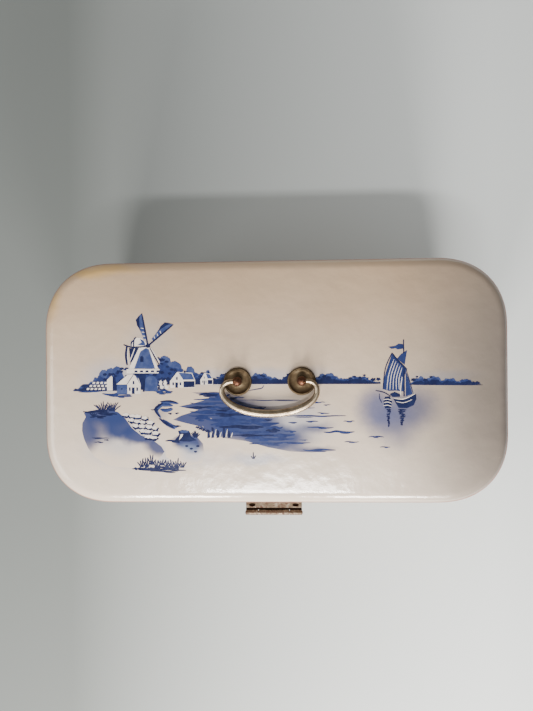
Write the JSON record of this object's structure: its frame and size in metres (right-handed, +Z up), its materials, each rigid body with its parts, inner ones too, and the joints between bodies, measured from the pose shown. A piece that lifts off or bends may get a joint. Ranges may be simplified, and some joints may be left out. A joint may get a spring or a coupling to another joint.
{
  "type": "hinged enamelled storage box",
  "caption": "Rounded rectangular enamelled sheet-steel box with a crowned hinged lid, swinging bail handle, rear butt hinges and a front hasp over a staple.",
  "frame": {"origin": "middle of the underside of the flat base", "axes": "+X along the length, +Y towards the rear hinges, +Z up; the hasp is at -Y"},
  "size_m": [0.465, 0.2717, 0.2529],
  "materials": {
    "lid_enamel": "gloss enamel, warm off-white with a blue painted landscape",
    "body_enamel": "gloss enamel, warm off-white",
    "worn_nickel": "worn nickel plate with brown patina",
    "aged_brass": "dull olive-brown aged brass",
    "copper": "rusty copper-coloured plating",
    "tinned_steel": "dull tinned steel with rust",
    "dull_steel": "dull steel"
  },
  "bodies": {
    "box": {"base_pan": "body_enamel", "body_shell": "body_enamel", "hinge_left_body_leaf": "tinned_steel", "hinge_left_body_rivet_a": "dull_steel", "hinge_left_body_rivet_b": "dull_steel", "hinge_left_pin": "tinned_steel", "hinge_right_body_leaf": "tinned_steel", "hinge_right_body_rivet_a": "dull_steel", "hinge_right_body_rivet_b": "dull_steel", "hinge_right_pin": "tinned_steel", "staple_loop": "dull_steel", "staple_plate": "tinned_steel", "staple_rivet_left": "dull_steel", "staple_rivet_right": "dull_steel"},
    "lid": {"hasp_leaf": "tinned_steel", "hasp_leaf_rivet_left": "dull_steel", "hasp_leaf_rivet_right": "dull_steel", "hasp_pin": "copper", "hinge_left_lid_leaf": "tinned_steel", "hinge_left_lid_rivet_a": "dull_steel", "hinge_left_lid_rivet_b": "dull_steel", "hinge_right_lid_leaf": "tinned_steel", "hinge_right_lid_rivet_a": "dull_steel", "hinge_right_lid_rivet_b": "dull_steel", "lid_shell": "lid_enamel", "post_left": "copper", "post_nut_left": "dull_steel", "post_nut_right": "dull_steel", "post_right": "copper", "post_washer_left": "dull_steel", "post_washer_right": "dull_steel", "rosette_left": "aged_brass", "rosette_right": "aged_brass"},
    "bail": {"bail_handle": "worn_nickel"},
    "strap": {"hasp_strap": "tinned_steel"}
  },
  "joints": [
    {"name": "lid_hinge", "type": "hinge", "parent": "box", "child": "lid", "pos_m": [0, 0.1251, 0.18415], "axis": [-1, 0, 0], "range_deg": [0, 105]},
    {"name": "bail_swing", "type": "hinge", "parent": "lid", "child": "bail", "pos_m": [-0.0025, 0, 0.24822], "axis": [-1, 0, 0], "range_deg": [0, 190]},
    {"name": "hasp_swing", "type": "hinge", "parent": "lid", "child": "strap", "pos_m": [0, -0.1335, 0.214], "axis": [-1, 0, 0], "range_deg": [-16.5, 95]}
  ]
}
